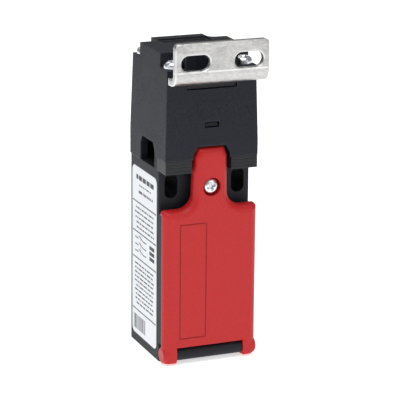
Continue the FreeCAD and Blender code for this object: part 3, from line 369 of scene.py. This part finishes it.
filmLook = {"dark": "e6e7ea", "light": "f0f1f3", "grain": 1400, "gloss": (0.28, 0.38), "relief": 0.02,
            "depth": 0.00005}


def makeLabelFilm(look):
    # smooth film with a faint cloudy tone
    material, tree, shader = startMaterial("labelFilm")
    grain = groupIn(tree, "grain", Dark=shade(look["dark"]), Light=shade(look["light"]),
                    Grain_Scale=look["grain"], Gloss_Low=look["gloss"][0], Gloss_High=look["gloss"][1])
    tree.links.new(grain.outputs["Color"], shader.inputs["Base Color"])
    tree.links.new(grain.outputs["Roughness"], shader.inputs["Roughness"])
    bumpInto(tree, shader, grain.outputs["Height"], look["relief"], look["depth"])
    return material


finishes["label_paper"] = makeLabelFilm(filmLook)
finishes["ink"] = makePlastic("labelInk", "121214", "1e1e21", "1e1e21", (0.3, 0.4), 1800, 0.02, 0.00002)

slotOf = {entry["node"]: entry["material_slot"] for entry in frame["record"]["subparts"]}
for node, item in frame["nodes"].items():
    for place in item.material_slots:
        place.material = finishes[slotOf[node]]
print("finishes on", len(slotOf), "nodes")


def meshObject(name, mesh):
    item = bpy.data.objects.new(name, mesh)
    bpy.context.scene.collection.objects.link(item)
    return item


def fromBmesh(name, build):
    mesh = bpy.data.meshes.new(name)
    build.normal_update()
    build.to_mesh(mesh)
    build.free()
    return meshObject(name, mesh)


def settle(item, name):
    # the modifiers' result as a plain mesh on a clean object
    evaluated = item.evaluated_get(bpy.context.evaluated_depsgraph_get())
    mesh = bpy.data.meshes.new_from_object(evaluated)
    mesh.name = name
    result = meshObject(name, mesh)
    bpy.data.objects.remove(item)
    return result


def smoothBy(item, degrees):
    for face in item.data.polygons:
        face.use_smooth = True
    build = bmesh.new()
    build.from_mesh(item.data)
    limit = math.radians(degrees)
    for edge in build.edges:
        edge.smooth = len(edge.link_faces) == 2 and edge.calc_face_angle(0.0) < limit
    build.to_mesh(item.data)
    build.free()


def finishPiece(item, body, material, replaced=()):
    item.data.materials.clear()
    item.data.materials.append(material)
    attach(item, body)
    if replaced:
        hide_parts(*replaced)


# shares of the head's and shank's sizes, but point and over are lengths and smooth is in degrees
screwShape = {"rim": 0.35, "seat": 0.96, "fillet": 0.06, "crown": 0.72, "crownSteps": 8, "tip": 0.55,
              "point": 0.4 * mm, "smooth": 32}
crossShape = {"long": 0.62, "wide": 0.15, "deep": 0.72, "foot": (0.45, 0.8), "mouth": (1.1, 1.05),
              "over": 0.3 * mm}


def screwOutline(headRadius, headHeight, shankRadius, shankLength):
    rim, steps = screwShape["rim"] * headHeight, screwShape["crownSteps"]
    outline = [(0.0, -shankLength), (shankRadius * screwShape["tip"], -shankLength),
               (shankRadius, -shankLength + screwShape["point"]), (shankRadius, 0.0),
               (headRadius * screwShape["seat"], 0.0), (headRadius, screwShape["fillet"] * headHeight),
               (headRadius, rim)]
    for step in range(1, steps + 1):
        angle = math.radians(step * 90 / steps)
        outline.append((headRadius * math.cos(angle) ** screwShape["crown"] if step < steps else 0.0,
                        rim + (headHeight - rim) * math.sin(angle)))
    return outline


def crossCutter(name, headRadius, headHeight):
    # two tapered blades, crossed
    cutter = bmesh.new()
    long, wide, deep = (headRadius * crossShape["long"], headRadius * crossShape["wide"],
                        headHeight * crossShape["deep"])
    for turn in (0, 90):
        made = bmesh.ops.create_cube(cutter, size=2.0)["verts"]
        for vert in made:
            low = vert.co.z < 0
            longShare, wideShare = crossShape["foot" if low else "mouth"]
            vert.co.x *= long * longShare
            vert.co.y *= wide * wideShare
            vert.co.z = headHeight - deep if low else headHeight + crossShape["over"]
        bmesh.ops.rotate(cutter, verts=made, matrix=Matrix.Rotation(math.radians(turn), 3, "Z"))
    return fromBmesh(name, cutter)


def screwModel(name, headRadius, headHeight, shankRadius, shankLength, sides=40):
    # a pan head with a domed crown, a rounded rim, a shank and a pointed end; its seat lies at height 0
    build = bmesh.new()
    rings = []
    for radius, height in screwOutline(headRadius, headHeight, shankRadius, shankLength):
        if radius == 0:
            rings.append([build.verts.new((0, 0, height))])
            continue
        angles = [2 * math.pi * k / sides for k in range(sides)]
        rings.append([build.verts.new((radius * math.cos(a), radius * math.sin(a), height)) for a in angles])
    for lower, upper in zip(rings, rings[1:]):
        for k in range(sides):
            n = (k + 1) % sides
            if len(lower) == 1:
                build.faces.new((lower[0], upper[n], upper[k]))
            elif len(upper) == 1:
                build.faces.new((lower[k], lower[n], upper[0]))
            else:
                build.faces.new((lower[k], lower[n], upper[n], upper[k]))
    screw = fromBmesh(name, build)
    cross = crossCutter(name + "Cross", headRadius, headHeight)
    carve = screw.modifiers.new("recess", "BOOLEAN")
    carve.operation, carve.object, carve.solver = "DIFFERENCE", cross, "EXACT"
    carve.use_self = True
    bpy.context.view_layer.update()
    result = settle(screw, name)
    bpy.data.objects.remove(cross)
    smoothBy(result, screwShape["smooth"])
    return result


def makeScrewTree():
    # sets one screw on every point, facing one way, each with its own turn
    tree = bpy.data.node_groups.new("screwsOnPoints", "GeometryNodeTree")
    face = tree.interface
    face.new_socket("Geometry", in_out="INPUT", socket_type="NodeSocketGeometry")
    for label, kind, value in (("Screw", "NodeSocketObject", None), ("Facing", "NodeSocketVector", (0, 0, 0)),
                               ("Turn Spread", "NodeSocketFloat", 1.2), ("Seed", "NodeSocketInt", 4),
                               ("Finish", "NodeSocketMaterial", None)):
        socket = face.new_socket(label, in_out="INPUT", socket_type=kind)
        if value is not None:
            socket.default_value = value
    face.new_socket("Geometry", in_out="OUTPUT", socket_type="NodeSocketGeometry")
    link, new = tree.links.new, tree.nodes.new
    given, result = new("NodeGroupInput"), new("NodeGroupOutput")
    info, place = new("GeometryNodeObjectInfo"), new("GeometryNodeInstanceOnPoints")
    turn, spin, spread = (new("GeometryNodeRotateInstances"), new("FunctionNodeRandomValue"),
                          new("ShaderNodeCombineXYZ"))
    realize, paint = new("GeometryNodeRealizeInstances"), new("GeometryNodeSetMaterial")
    spin.data_type = "FLOAT"
    link(given.outputs["Screw"], info.inputs["Object"])
    link(given.outputs["Geometry"], place.inputs["Points"])
    link(info.outputs["Geometry"], place.inputs["Instance"])
    link(given.outputs["Facing"], place.inputs["Rotation"])
    link(given.outputs["Turn Spread"], [s for s in spin.inputs if s.name == "Max" and s.type == "VALUE"][0])
    link(given.outputs["Seed"], spin.inputs["Seed"])
    link([s for s in spin.outputs if s.type == "VALUE"][0], spread.inputs["Z"])
    link(place.outputs["Instances"], turn.inputs["Instances"])
    link(spread.outputs["Vector"], turn.inputs["Rotation"])
    turn.inputs["Local Space"].default_value = True
    link(turn.outputs["Instances"], realize.inputs["Geometry"])
    link(realize.outputs["Geometry"], paint.inputs["Geometry"])
    link(given.outputs["Finish"], paint.inputs["Material"])
    link(paint.outputs["Geometry"], result.inputs["Geometry"])
    return tree


def setInputs(modifier, tree, values):
    for item in tree.interface.items_tree:
        if item.item_type == "SOCKET" and item.in_out == "INPUT" and item.name in values:
            modifier[item.identifier] = values[item.name]


screwTree = makeScrewTree()
axisDepth = -15.3                       # the head's upright axis
rowHeights = (22.9, 31.7, 40.5)         # the rows of terminals
turnSpread = 1.3                        # radians, the screws' recesses point all ways
screwSets = {
    "head_screw_set": {"node": "head_screws", "head": (2.75, 2.4), "shank": (1.25, 25.0), "facing": (0, 0, 0),
                       "body": "housing", "seed": 11,
                       "points": [(x, axisDepth + y, 93.75) for x in (-11.5, 11.5) for y in (-11.5, 11.5)]},
    "terminal_screw_set": {"node": "terminal_screws", "head": (2.6, 2.0), "shank": (1.25, 6.8),
                           "facing": (math.pi / 2, 0, 0), "body": "housing", "seed": 5,
                           "points": [(x, -19.9, z) for x in (-9.6, 9.6) for z in rowHeights]},
    "cover_screw_set": {"node": "cover_screw", "head": (2.6, 2.0), "shank": (1.25, 4.8),
                        "facing": (math.pi / 2, 0, 0), "body": "cover_fastener", "seed": 8,
                        "points": [(0, -28.7, 56.75)]},
}
for name, plan in screwSets.items():
    model = screwModel(name + "Model", plan["head"][0] * mm, plan["head"][1] * mm,
                       plan["shank"][0] * mm, plan["shank"][1] * mm)
    points = bpy.data.meshes.new(name + "Points")
    points.from_pydata([(x * mm, y * mm, up(z)) for x, y, z in plan["points"]], [], [])
    holder = meshObject(name + "Points", points)
    modifier = holder.modifiers.new("screws", "NODES")
    modifier.node_group = screwTree
    setInputs(modifier, screwTree, {"Screw": model, "Facing": plan["facing"], "Seed": plan["seed"],
                                    "Turn Spread": turnSpread, "Finish": finishes["zinc"]})
    bpy.context.view_layer.update()
    piece = settle(holder, name)
    bpy.data.objects.remove(model)
    finishPiece(piece, plan["body"], finishes["zinc"], (plan["node"],))
print("screws")


def makeWindingTree():
    # a ridge or a wire that winds round the upright axis
    tree = bpy.data.node_groups.new("windingRidge", "GeometryNodeTree")
    face = tree.interface
    for label, kind, value in (("Radius", "NodeSocketFloat", 0.01), ("Pitch", "NodeSocketFloat", 0.0015),
                               ("Turns", "NodeSocketFloat", 5.0), ("Ridge", "NodeSocketFloat", 0.0004),
                               ("Steps", "NodeSocketInt", 48), ("Sides", "NodeSocketInt", 4),
                               ("Finish", "NodeSocketMaterial", None)):
        socket = face.new_socket(label, in_out="INPUT", socket_type=kind)
        if value is not None:
            socket.default_value = value
    face.new_socket("Geometry", in_out="OUTPUT", socket_type="NodeSocketGeometry")
    link, new = tree.links.new, tree.nodes.new
    given, result = new("NodeGroupInput"), new("NodeGroupOutput")
    spiral, circle = new("GeometryNodeCurveSpiral"), new("GeometryNodeCurvePrimitiveCircle")
    sweep, rise = new("GeometryNodeCurveToMesh"), new("ShaderNodeMath")
    realize, paint = new("GeometryNodeRealizeInstances"), new("GeometryNodeSetMaterial")
    rise.operation = "MULTIPLY"
    link(given.outputs["Pitch"], rise.inputs[0])
    link(given.outputs["Turns"], rise.inputs[1])
    link(given.outputs["Steps"], spiral.inputs["Resolution"])
    link(given.outputs["Turns"], spiral.inputs["Rotations"])
    link(given.outputs["Radius"], spiral.inputs["Start Radius"])
    link(given.outputs["Radius"], spiral.inputs["End Radius"])
    link(rise.outputs[0], spiral.inputs["Height"])
    link(given.outputs["Sides"], circle.inputs["Resolution"])
    link(given.outputs["Ridge"], circle.inputs["Radius"])
    link(spiral.outputs["Curve"], sweep.inputs["Curve"])
    link(circle.outputs["Curve"], sweep.inputs["Profile Curve"])
    sweep.inputs["Fill Caps"].default_value = True
    link(sweep.outputs["Mesh"], realize.inputs["Geometry"])
    link(realize.outputs["Geometry"], paint.inputs["Geometry"])
    link(given.outputs["Finish"], paint.inputs["Material"])
    link(paint.outputs["Geometry"], result.inputs["Geometry"])
    return tree


windingTree = makeWindingTree()
returnSpring = {"foot": 10.2, "long": 5.8, "travel": 3.5, "round": 1.7, "wire": 0.5, "turns": 4}
coilStart = returnSpring["foot"] + returnSpring["wire"] / 2
windingSteps, windingSmooth = 48, 50        # points on each turn, and the widest smoothed angle in degrees
windings = {
    "entry_thread": {"radius": 9.25, "pitch": 1.5, "turns": 4.6, "ridge": 0.28, "sides": 4,
                     "slot": "case_plastic", "body": "housing",
                     "place": Matrix.Translation((0, -13.6 * mm, up(1.1)))},
    "cover_screw_thread": {"radius": 1.27, "pitch": 0.5, "turns": 7.0, "ridge": 0.15, "sides": 4,
                           "slot": "zinc", "body": "cover_fastener",
                           "place": (Matrix.Translation((0, -24.35 * mm, up(56.75)))
                                     @ Matrix.Rotation(math.pi / 2, 4, "X"))},
    "return_spring_coil": {"radius": returnSpring["round"], "turns": returnSpring["turns"],
                           "pitch": (returnSpring["long"] - returnSpring["wire"]) / returnSpring["turns"],
                           "ridge": returnSpring["wire"] / 2, "sides": 12,
                           "slot": "spring_steel", "body": "housing", "replaces": ("return_spring",),
                           "place": Matrix.Translation((0, axisDepth * mm, up(coilStart)))},
}
for name, plan in windings.items():
    holder = meshObject(name + "Start", bpy.data.meshes.new(name + "Start"))
    modifier = holder.modifiers.new("winding", "NODES")
    modifier.node_group = windingTree
    setInputs(modifier, windingTree, {"Radius": plan["radius"] * mm, "Pitch": plan["pitch"] * mm,
                                      "Turns": plan["turns"], "Ridge": plan["ridge"] * mm,
                                      "Steps": windingSteps, "Sides": plan["sides"],
                                      "Finish": finishes[plan["slot"]]})
    bpy.context.view_layer.update()
    piece = settle(holder, name)
    piece.data.transform(plan["place"])
    build = bmesh.new()
    build.from_mesh(piece.data)
    bmesh.ops.recalc_face_normals(build, faces=build.faces)
    build.to_mesh(piece.data)
    build.free()
    smoothBy(piece, windingSmooth)
    finishPiece(piece, plan["body"], finishes[plan["slot"]], plan.get("replaces", ()))
    if name == "return_spring_coil":        # gives the spring its own mesh; in the switch the carrier presses it down on its foot
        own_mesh(piece)
print("threads and return spring")


# the label's face, and depths and heights on it, all in millimetres
labelPrint = {
    "face": -15.12, "lift": 0.012, "front": -22.6, "back": -2.3, "seed": 7,
    "rules": [(47.0, 0.4), (37.2, 0.4), (28.5, 0.4), (11.2, 0.4)],
    "rows": [(45.2, 5, 1.6, -20.9, -4.2, 0.5), (26.6, 10, 1.45, -20.9, -4.2, 0.5),
             (55.2, 1, 0, -20.6, -5.0, 1.5), (52.8, 1, 0, -18.6, -7.0, 0.45),
             (50.6, 1, 0, -20.2, -6.0, 0.85)],
    "barLong": (0.7, 3.2), "barGap": 0.55, "indent": 1.5, "shortest": 1.2,
    "contacts": (30.8, 33.0, 35.2), "leads": ((-14.2, -11.2), (-7.4, -4.4)), "blade": (-11.2, -7.7, 0.95),
    "contactWidth": 0.36, "linkage": {"depth": -9.4, "below": 0.6, "above": 1.1, "width": 0.14},
    "blocks": [(31.4, 1.2), (33.2, 1.2), (35.0, 1.2)], "blockEnds": (-21.2, -17.0),
    "stripes": (4.6, 9.4, -13.0, -3.4), "stripeWidths": (0.22, 0.34, 0.5), "stripeGaps": (0.22, 0.32, 0.5),
}


def makeLabelPrint(plan):
    build = bmesh.new()
    draw = random.Random(plan["seed"])
    x = (plan["face"] - plan["lift"]) * mm

    def bar(startY, startZ, endY, endZ, width):
        start, end = Vector((x, startY * mm, up(startZ))), Vector((x, endY * mm, up(endZ)))
        ahead = (end - start).normalized()
        aside = Vector((1, 0, 0)).cross(ahead) * width / 2 * mm
        inward = Vector((plan["lift"] * mm, 0, 0))
        outer = [start - aside, end - aside, end + aside, start + aside]
        verts = [build.verts.new(c) for c in outer] + [build.verts.new(c + inward) for c in outer]
        build.faces.new(verts[:4])
        build.faces.new(verts[7:3:-1])
        for k in range(4):
            n = (k + 1) % 4
            build.faces.new((verts[k], verts[k + 4], verts[n + 4], verts[n]))

    for height, width in plan["rules"]:
        bar(plan["front"], height, plan["back"], height, width)
    for top, count, pitch, front, back, width in plan["rows"]:      # plain bars, no lettering
        for row in range(count):
            height, y = top - row * pitch, front + draw.uniform(0, plan["indent"])
            while y < back - plan["shortest"]:
                long = min(draw.uniform(*plan["barLong"]), back - y)
                bar(y, height, y + long, height, width)
                y += long + plan["barGap"]
    wide, link = plan["contactWidth"], plan["linkage"]
    bladeStart, bladeEnd, bladeRise = plan["blade"]
    for height in plan["contacts"]:                                 # contact symbols: two leads and a blade
        for start, end in plan["leads"]:
            bar(start, height, end, height, wide)
        bar(bladeStart, height, bladeEnd, height + bladeRise, wide)
    bar(link["depth"], plan["contacts"][0] - link["below"],
        link["depth"], plan["contacts"][2] + link["above"], link["width"])
    for height, width in plan["blocks"]:
        bar(plan["blockEnds"][0], height, plan["blockEnds"][1], height, width)
    low, high, y, back = plan["stripes"]
    while y < back:                                                 # a block of upright stripes
        wide = draw.choice(plan["stripeWidths"])
        bar(y, low, y, high, wide)
        y += wide + draw.choice(plan["stripeGaps"])
    bmesh.ops.recalc_face_normals(build, faces=build.faces)
    return fromBmesh("label_print", build)


piece = makeLabelPrint(labelPrint)
finishPiece(piece, "housing", finishes["ink"])
print("label print")


floorPlan = {"half": 0.8, "gap": 0.00002, "glow": 0.6, "grain": 300, "gloss": (0.7, 0.8),
             "dark": (0.90, 0.90, 0.91, 1), "light": (0.94, 0.94, 0.95, 1)}
build = bmesh.new()
half, height = floorPlan["half"], up(0) - floorPlan["gap"]
corners = ((-half, -half), (half, -half), (half, half), (-half, half))
build.faces.new([build.verts.new((x, y, height)) for x, y in corners])
floor = fromBmesh("studioFloor", build)
floorFinish, floorTree, floorShader = startMaterial("floorPaper")
floorGrain = groupIn(floorTree, "grain", Dark=floorPlan["dark"], Light=floorPlan["light"],
                     Grain_Scale=floorPlan["grain"], Gloss_Low=floorPlan["gloss"][0],
                     Gloss_High=floorPlan["gloss"][1])
floorShader.inputs["Emission Color"].default_value = (1, 1, 1, 1)
floorShader.inputs["Emission Strength"].default_value = floorPlan["glow"]
floorTree.links.new(floorGrain.outputs["Color"], floorShader.inputs["Base Color"])
floorTree.links.new(floorGrain.outputs["Roughness"], floorShader.inputs["Roughness"])
floor.data.materials.append(floorFinish)
print("floor")
